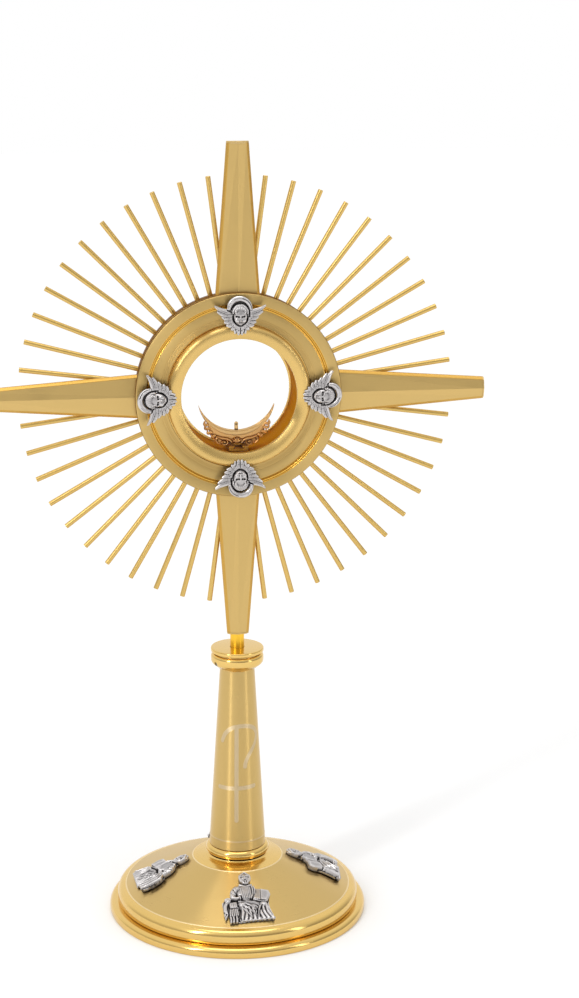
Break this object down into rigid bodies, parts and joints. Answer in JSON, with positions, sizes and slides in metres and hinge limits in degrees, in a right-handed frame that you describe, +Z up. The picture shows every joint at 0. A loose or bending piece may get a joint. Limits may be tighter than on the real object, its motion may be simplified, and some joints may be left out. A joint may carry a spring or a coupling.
{
  "type": "monstrance",
  "caption": "Sunburst monstrance with a cross of tapered arms, a glazed drum with a rear door and a sliding lunula, on a tapered stem and round domed foot.",
  "frame": {"origin": "centre of the foot's flat underside", "axes": "+Z up along the stem, -Y towards the front, +X to the viewer's right"},
  "size_m": [0.414, 0.222, 0.6638],
  "materials": {
    "satin_gold": "satin brushed gilding",
    "bright_gold": "polished gilding",
    "rose_gold": "polished rose gilding",
    "old_silver": "silvered casting with dark patina",
    "steel": "plain",
    "clear_glass": "clear"
  },
  "bodies": {
    "stand": {"foot_ring": "bright_gold", "foot_dome": "satin_gold", "evangelist_front": "old_silver", "evangelist_right": "old_silver", "evangelist_back": "old_silver", "evangelist_left": "old_silver", "stem_bead": "bright_gold", "stem_cone": "satin_gold", "stem_collar": "bright_gold", "socket_disc": "bright_gold", "grub_screw": "steel", "tie_rod": "steel", "tie_washer": "steel", "tie_nut": "steel", "spigot": "bright_gold", "ray_fan_upper_right": "bright_gold", "ray_fan_lower_right": "bright_gold", "ray_fan_lower_left": "bright_gold", "ray_fan_upper_left": "bright_gold", "arm_top": "satin_gold", "arm_right": "satin_gold", "arm_bottom": "satin_gold", "arm_left": "satin_gold", "front_ring": "satin_gold", "inner_bezel": "bright_gold", "front_glass": "clear_glass", "drum": "bright_gold", "cherub_top": "old_silver", "cherub_right": "old_silver", "cherub_bottom": "old_silver", "cherub_left": "old_silver", "rear_frame": "bright_gold", "hinge_pin": "steel", "door_catch": "steel", "lunula_rail": "bright_gold"},
    "door": {"door_frame": "bright_gold", "door_glass": "clear_glass", "door_retainer": "bright_gold", "door_knob": "bright_gold"},
    "lunula": {"lunula_bracket": "rose_gold", "lunula_front": "rose_gold", "jaw_pin": "steel"},
    "jaw": {"lunula_rear": "rose_gold"}
  },
  "joints": [
    {"name": "rear_door", "type": "hinge", "parent": "stand", "child": "door", "pos_m": [0.0625, 0.0212, 0.4568], "axis": [0, 0, -1], "range_deg": [0, 110]},
    {"name": "lunula_slide", "type": "slide", "parent": "stand", "child": "lunula", "axis": [0, 1, 0], "range_m": [-0.004, 0.004]},
    {"name": "lunula_jaw", "type": "hinge", "parent": "lunula", "child": "jaw", "pos_m": [0, 0.0056, 0.4183], "axis": [-1, 0, 0], "range_deg": [0, 18]}
  ]
}
